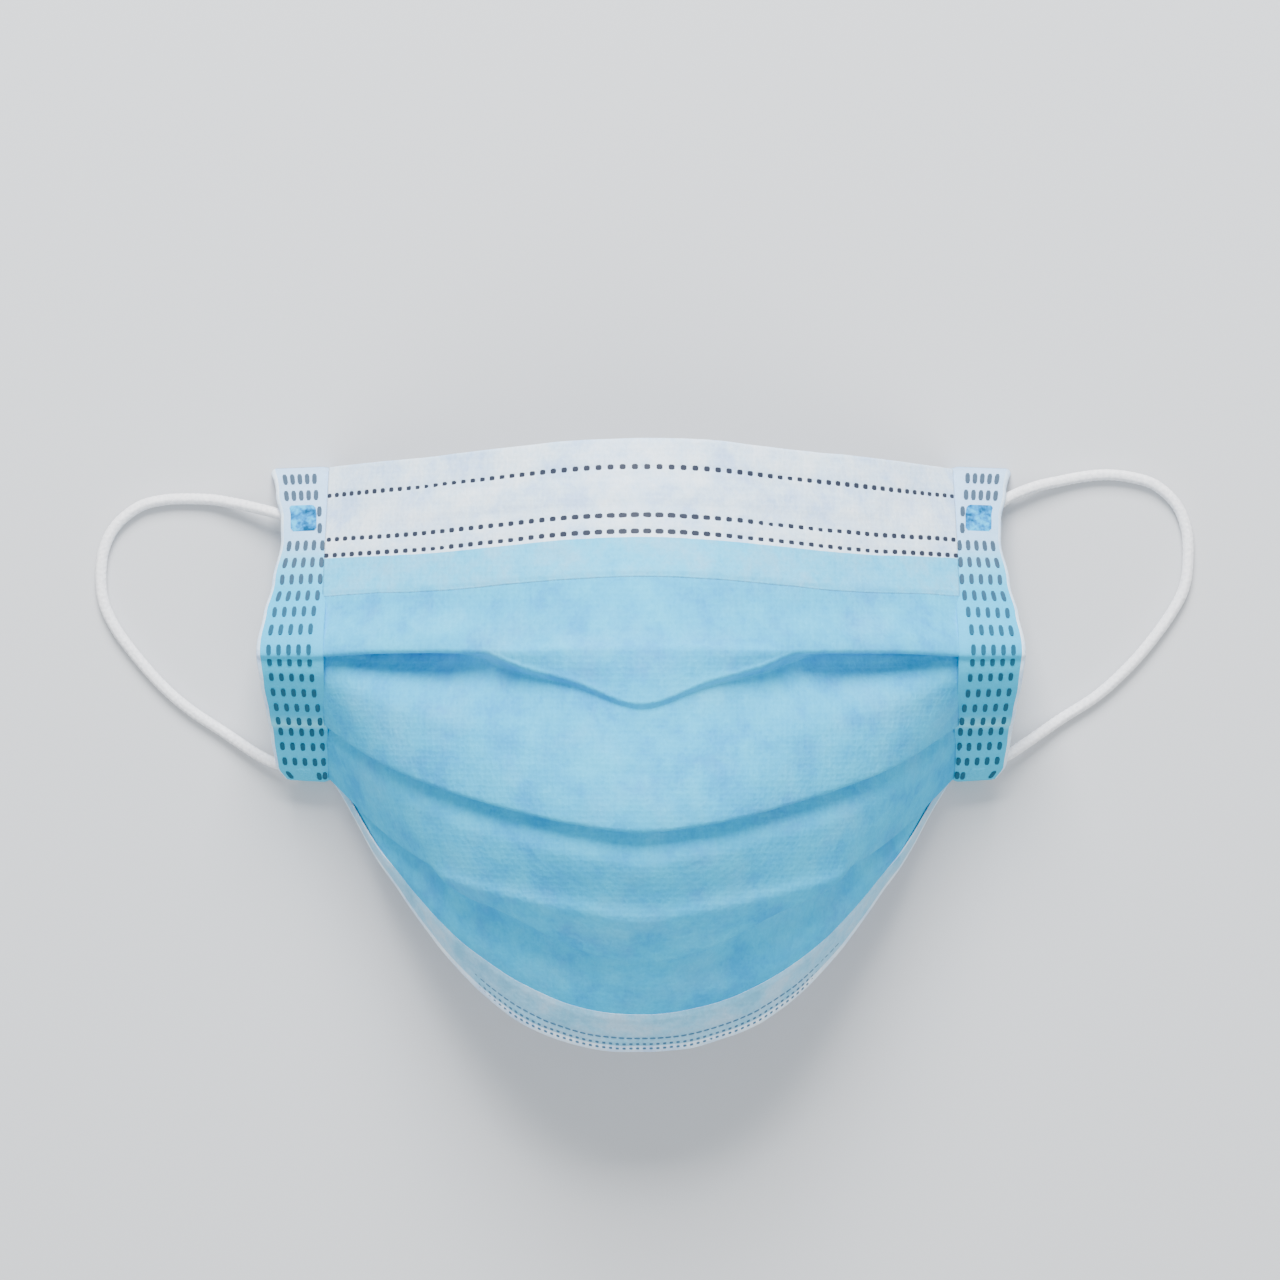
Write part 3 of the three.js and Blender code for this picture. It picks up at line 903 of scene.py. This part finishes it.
def top_binding():
    """The white inner ply, turned over the upper edge and welded down in three dotted rows."""
    rows = [(run_at, *row_places(run_at, DOT_PITCH, 1.0)) for run_at in map(top_row, TOP_ROWS)]
    grid = []
    for share in stations(1.0, TOP_STATIONS):
        view = SideView(abs(share))
        width = view.run_of("top_binding_edge")
        tuck_run = np.linspace(TOP_TUCK, EDGE_SETBACK, TOP_TUCK_POINTS, endpoint=False)
        turn_run = EDGE_SETBACK - (EDGE_SETBACK - PLY / 2) * np.sin(PLY_TURN)
        turn_depth = (UNDER - OVER) / 2 + (UNDER + OVER) / 2 * np.cos(PLY_TURN)
        over_run = np.concatenate([
            np.linspace(EDGE_SETBACK, width - HUG_WIDTH, TOP_POINTS - SEAM_POINTS, endpoint=False),
            np.linspace(width - HUG_WIDTH, width, SEAM_POINTS),
        ])
        hug = smooth_step((over_run - width + HUG_WIDTH) / HUG_WIDTH)
        wire = np.exp(-((over_run / width - WIRE_ROW) / WIRE_WIDTH) ** 4)
        wire = wire * smooth_step((WIRE_END - abs(share)) / WIRE_EASE)
        over_depth = -OVER - WIRE_HEIGHT * wire + HUG_DEPTH * hug
        for run_at, _, row_shares, lengths in rows:
            arc = np.interp(abs(share), row_shares, lengths)
            away = (arc / DOT_PITCH % 1 - 0.5) * DOT_PITCH
            from_row = over_run - run_at(view, share)
            groove = np.exp(-(from_row / GROOVE_WIDTH) ** 2)
            dent = np.exp(-(away / DENT_LENGTH) ** 4) * np.exp(-(from_row / DENT_WIDTH) ** 4)
            over_depth = over_depth + GROOVE * groove + DENT * dent
        run = np.concatenate([tuck_run, turn_run, over_run])
        depth = np.concatenate([np.full(len(tuck_run), UNDER), turn_depth, over_depth])
        grid.append(cloth_line(view, share, run, depth))
    grid = np.array(grid)
    white_until = TOP_TUCK_POINTS + len(PLY_TURN) + int(TOP_POINTS * WHITE_SHARE)
    outer_slot = [0 if j < white_until else 1 for j in range(grid.shape[1])]
    piece = sheet_object("top_binding_ply", grid, PLY, [white_ply, pale_ply, white_ply], outer_slot)
    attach(piece, "root")
    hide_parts("top_binding")

    plates = Plates()
    for number, (run_at, places, _, _) in enumerate(rows):
        for share in places:
            bold = BOLD * smooth_step((BOLD_REACH - share) / BOLD_EASE) if number else 0
            for side in (-1, 1):
                frame_there = surface_frame(side * share, run_at, DENT - OVER - PLY / 2)
                plates.add(*frame_there, DOT_HALF_LENGTH * (1 + bold), DOT_HALF_WIDTH, DOT_THICK)
    welds = plates.build("top_weld_dots", dot_weld)
    return piece, welds


top_ply, top_welds = top_binding()


# Bottom binding: its points from the seam over the edge to the tucked end, those of the white rim,
# and how far it sinks beside the side bindings
HEM_STATIONS = 241
HEM_REACH = 0.985
HEM_POINTS = 40
HEM_TUCK_POINTS = 12
WHITE_RIM = range(34, 46)
HEM_SINK = 1.1 * MM
HEM_SINK_START = 0.76
HEM_SINK_EASE = 0.12

# Its grooves: distance from the edge and width, both at full hem width
HEM_GROOVES = [(4.2 * MM, 0.6 * MM), (2.2 * MM, 0.5 * MM)]

# Its weld rows: distance from the edge, pitch, half length and half width
HEM_ROWS = [
    (4.2 * MM, 1.5 * MM, 0.55 * MM, 0.16 * MM),
    (2.6 * MM, 1.3 * MM, 0.32 * MM, 0.26 * MM),
    (1.4 * MM, 1.3 * MM, 0.32 * MM, 0.26 * MM),
]
HEM_ROW_REACH = 0.74
HEM_WELD_THICK = 0.10 * MM
HEM_WELD_SINK = 0.02 * MM


def hem_line(share):
    """The side view at a share across, and the hem's depth, which is less beside the tapes."""
    view, _, _, depth = panel_profile(share)
    return view, depth - HEM_SINK * smooth_step((share - HEM_SINK_START) / HEM_SINK_EASE)


def bottom_binding():
    """The pale ply turned over the chin edge, with a row of dashes and two rows of small dots."""
    grid = []
    for share in stations(HEM_REACH, HEM_STATIONS):
        view, hem_depth = hem_line(abs(share))
        part = between(HEM_SHARE, abs(share))
        corner = view.total - EDGE_SETBACK
        over_run = np.linspace(view.total - HEM_WIDTH * part, corner, HEM_POINTS)
        hug = 1 - smooth_step((over_run - over_run[0]) / HUG_WIDTH)
        groove = sum(np.exp(-((view.total - over_run - distance * part) / width) ** 2)
                     for distance, width in HEM_GROOVES)
        over_depth = hem_depth - OVER + GROOVE * groove + HUG_DEPTH * hug
        turn_run = corner + (EDGE_SETBACK - PLY / 2) * np.sin(PLY_TURN)
        turn_depth = hem_depth + (UNDER - OVER) / 2 - (UNDER + OVER) / 2 * np.cos(PLY_TURN)
        tuck_run = np.linspace(corner, view.total - HEM_TUCK * part, HEM_TUCK_POINTS)
        run = np.concatenate([over_run, turn_run, tuck_run])
        depth = np.concatenate([over_depth, turn_depth, np.full(len(tuck_run), hem_depth + UNDER)])
        grid.append(cloth_line(view, share, run, depth))
    grid = np.array(grid)
    outer_slot = [1 if j in WHITE_RIM else 0 for j in range(grid.shape[1])]
    piece = sheet_object("bottom_binding_ply", grid, PLY, [hem_ply, white_ply], outer_slot)
    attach(piece, "root")
    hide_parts("bottom_binding")

    plates = Plates()
    for distance, pitch, half_length, half_width in HEM_ROWS:
        run_at = lambda view, share: view.total - distance * between(HEM_SHARE, abs(share))
        places, _, _ = row_places(run_at, pitch, HEM_ROW_REACH)
        for share in places:
            depth = hem_line(share)[1] - OVER - PLY / 2 + HEM_WELD_SINK
            for side in (-1, 1):
                frame_there = surface_frame(side * share, run_at, depth)
                plates.add(*frame_there, half_length, half_width, HEM_WELD_THICK)
    welds = plates.build("hem_weld_dots", hem_weld)
    return piece, welds


hem, hem_welds = bottom_binding()


# Side bindings: half thickness at the panel, how much thinner the rim is, and the seam at the panel
TAPE_STATIONS = 260
TAPE_DEPTH = 0.2 * MM
TAPE_HALF = 1.25 * MM
TAPE_THINNING = 0.35
TAPE_START = -0.09
TAPE_INSET = 0.3 * MM
SEAM_DROP = 0.45 * MM
SEAM_WIDTH = 0.2
TAPE_SWELL = 0.5
TAPE_SWELL_X = 66 * MM

# The rounding of the rim: places across and heights as shares of the half thickness
RIM_START = 0.93
RIM_ACROSS = (0.965, 0.985)
RIM_HEIGHTS = (0.8, 0.5)
RIM_SINK = 0.3

# The path of a side binding, and how the ends stand out from the edges of the side view
TAPE_FOOT = 2 * MM
TAPE_KNOTS = 23
TAPE_SAMPLES = 12
NOSE_END_SHIFT = -0.4 * MM
CHIN_END_SHIFT = 1.2 * MM
END_EASE = 3 * MM

# How deep and how far the tape sinks below each pleat's fold
TAPE_SINKS = [
    ("first_fold", 0.9 * MM, 13 * MM),
    ("second_fold", 0.8 * MM, 12 * MM),
    ("third_fold", 0.5 * MM, 6 * MM),
]
TAPE_FALL = 0.9 * MM


def rim_reach(along):
    k = 0
    while k + 2 < len(SIDE_RIM) and SIDE_RIM[k + 1]["along"] < along:
        k += 1
    low, high = SIDE_RIM[k], SIDE_RIM[k + 1]
    share = (along - low["along"]) / (high["along"] - low["along"])
    return SIDE_WIDTH * (low["reach"] + (high["reach"] - low["reach"]) * smooth_step(share))


class TapePath:
    """The middle of a side binding, standing on its two ends."""

    def __init__(self):
        view = SideView(1)
        runs = np.linspace(TAPE_FOOT, view.total - TAPE_FOOT, TAPE_KNOTS)
        knots = view.at(runs, TAPE_DEPTH)
        nose = [view.at(0, 0)[0] + NOSE_END_SHIFT, 0]
        chin = [view.at(view.total, 0)[0] + CHIN_END_SHIFT, 0]
        self.points = smooth_line(np.vstack([nose, knots, chin]), TAPE_SAMPLES)
        self.runs = runs_along(self.points)
        self.total = self.runs[-1]
        along = np.gradient(self.points, self.runs, axis=0)
        along[0], along[-1] = (0, 1), (0, -1)
        self.along = along / np.linalg.norm(along, axis=1)[:, None]
        folds = [view.at(view.run_of(name), TAPE_DEPTH) for name, _, _ in TAPE_SINKS]
        self.folds = [self.runs[np.argmin(np.linalg.norm(self.points - fold, axis=1))] for fold in folds]

    def run_at(self, y):
        return float(np.interp(-y, -self.points[:, 0], self.runs))

    def sink(self, run):
        """How far the tape lies lower below each pleat's fold, until it rises to the next."""
        depth = 0
        for fold, (_, drop, length) in zip(self.folds, TAPE_SINKS):
            beyond = run - fold
            depth = depth + drop * smooth_step(beyond / TAPE_FALL) * (1 - smooth_step(beyond / length))
        return depth

    def point(self, side, run, across, height):
        """A point at a share across from the panel to the rim, its height measured out of the tape."""
        run, across, height = np.broadcast_arrays(*(np.asarray(v, float) for v in (run, across, height)))
        y, z, ay, az = (
            np.interp(run, self.runs, column)
            for column in (self.points[:, 0], self.points[:, 1], self.along[:, 0], self.along[:, 1])
        )
        share = run / self.total
        reach = np.vectorize(rim_reach)(share)
        droop = RIM_DROOP * np.sin(math.pi * share)
        return np.stack([
            side * (PANEL_WIDTH / 2 + TAPE_INSET + reach * across),
            y + az * height,
            z - ay * height - droop * across,
        ], axis=-1)


def tape_half(across):
    return TAPE_HALF * (1 - TAPE_THINNING * np.clip(across, 0, 1))


def tape_height(across):
    """Height of the tape's outer face: low at the panel, so that it runs on into the cloth."""
    return tape_half(across) - SEAM_DROP * (1 - smooth_step((across - TAPE_START) / SEAM_WIDTH))


# Weld dashes of a side tape: rows evenly spaced as seen from above, and columns counted from the
# rim, with their pitch in millimetres at places along Y in millimetres
UPPER_ROWS = 51.6 * MM - 3.32 * MM * np.arange(11)
LOWER_ROWS = 16.3 * MM - 2.69 * MM * np.arange(9)
DASH_COLUMNS = 5
DASH_PITCHES = [(-6, 1.95), (4, 2.08), (16, 1.98), (30, 1.92), (36, 1.8), (41, 1.5), (52, 1.45)]
RIM_MARGIN = 0.21
PANEL_MARGIN = 0.03
UPPER_DASH = 0.98 * MM
LOWER_DASH = 0.72 * MM
DASH_HALF_WIDTH = 0.46 * MM
DASH_THICK = 0.22 * MM
LEAST_SLOPE = 0.6
NEARBY_ALONG = 0.4 * MM
NEARBY_ACROSS = 0.03

# Welded squares over the ends of the ear loop: place along Y, distance from the rim and half size,
# and the dashes that they take the place of, as (row, column)
NOSE_SPOT = (43.8 * MM, 4.6 * MM, 2.6 * MM)
CHIN_SPOT = (-5.0 * MM, 5.6 * MM, 1.5 * MM)
UNDER_SPOTS = [(row, column) for row in (2, 3) for column in range(4)] + [(19, 1), (19, 2)]
SPOT_THICK = 0.25 * MM
SPOT_STRETCH = 1.25
SPOT_EDGE = 0.12
SPOT_HEIGHT = 0.14 * MM
WAFFLE_HEIGHT = 0.07 * MM
WAFFLES = 3


def side_binding(side, name):
    path = TapePath()
    runs = np.linspace(0, path.total, TAPE_STATIONS)
    outer_across = np.concatenate([np.linspace(TAPE_START, RIM_START, 34), RIM_ACROSS])
    inner_across = np.concatenate([RIM_ACROSS[::-1], np.linspace(RIM_START, 0, 10)])

    def swell_at(run):
        return float(wrinkle(side * TAPE_SWELL_X, run)) * TAPE_SWELL

    def height_at(run, across):
        return float(tape_height(across)) - float(path.sink(run)) + swell_at(run)

    rings = []
    for run in runs:
        settled = smooth_step(min(run, path.total - run) / END_EASE)
        sink = float(path.sink(run)) * settled
        top = tape_height(outer_across) - sink + swell_at(run) * settled
        top[-2:] *= RIM_HEIGHTS
        bottom = -tape_half(inner_across)
        bottom[:2] *= RIM_HEIGHTS[::-1]
        outer = path.point(side, run, outer_across, top)
        rim = path.point(side, run, 1.0, -RIM_SINK * sink)
        inner = path.point(side, run, inner_across, bottom)
        ring = np.vstack([outer, rim[None], inner])
        ring[:, 2] = np.maximum(ring[:, 2], 0)
        rings.append(ring)
    rings = np.array(rings)
    count = rings.shape[1]
    rim_first = len(outer_across) - 3
    faces, slots = [], []
    for i in range(len(runs) - 1):
        for k in range(count):
            a, b = i * count + k, i * count + (k + 1) % count
            face = (a, b, b + count, a + count)
            faces.append(face if side < 0 else face[::-1])
            slots.append(1 if rim_first <= k < rim_first + 4 else 0)
    last = (len(runs) - 1) * count
    caps = [tuple(reversed(range(count))), tuple(range(last, last + count))]
    faces.extend(cap if side < 0 else cap[::-1] for cap in caps)
    slots.extend([0, 0])
    piece = make_object(name + "_tape", rings.reshape(-1, 3), faces, [side_tape, white_ply], slots)
    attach(piece, "root")
    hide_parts(name)

    def frame_at(run, across):
        """A place on the tape's outer face, with the directions along it, across it and out of it."""
        def point(run_step, across_step):
            return path.point(side, run + run_step, across + across_step, height_at(run, across))
        along = point(NEARBY_ALONG, 0) - point(-NEARBY_ALONG, 0)
        wide = point(0, NEARBY_ACROSS) - point(0, -NEARBY_ACROSS)
        along /= np.linalg.norm(along)
        wide /= np.linalg.norm(wide)
        normal = np.cross(along, wide) * side
        normal /= np.linalg.norm(normal)
        return point(0, 0), along, wide, normal

    dashes = Plates()
    for row, y in enumerate(np.concatenate([UPPER_ROWS, LOWER_ROWS])):
        run = path.run_at(y)
        pitch = float(np.interp(y / MM, *zip(*DASH_PITCHES))) * MM
        half_length = UPPER_DASH if row < len(UPPER_ROWS) else LOWER_DASH
        for column in range(DASH_COLUMNS):
            if (row, column) in UNDER_SPOTS:
                continue
            across = 1 - RIM_MARGIN - column * pitch / rim_reach(run / path.total)
            centre, along, wide, normal = frame_at(run, max(across, PANEL_MARGIN))
            drawn_out = half_length / max(abs(along[1]), LEAST_SLOPE)
            dashes.add(centre, along, wide, normal, drawn_out, DASH_HALF_WIDTH, DASH_THICK)
    welds = dashes.build(name + "_welds", dash_weld)

    def spot(end, material, y, from_rim, half_size):
        """The waffled square where an ear loop is welded."""
        def point_at(i, j, depth):
            run = path.run_at(y) + i * half_size * SPOT_STRETCH
            across = 1 - (from_rim + j * half_size) / rim_reach(run / path.total)
            edge = smooth_step((1 - max(abs(i), abs(j))) / SPOT_EDGE)
            waffle = math.cos(WAFFLES * math.pi * i) * math.cos(WAFFLES * math.pi * j)
            raised = (SPOT_HEIGHT + WAFFLE_HEIGHT * waffle) * edge
            return path.point(side, run, across, height_at(run, across) - depth + raised)
        plates = Plates()
        plates.add_patch(point_at, SPOT_THICK)
        return plates.build(name + end, material)

    nose_spot = spot("_nose_spot", spot_weld, *NOSE_SPOT)
    chin_spot = spot("_chin_spot", side_tape, *CHIN_SPOT)
    return [piece, welds, nose_spot, chin_spot]


left_side = side_binding(-1, "side_binding_left")
right_side = side_binding(1, "side_binding_right")

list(left_side)
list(right_side)
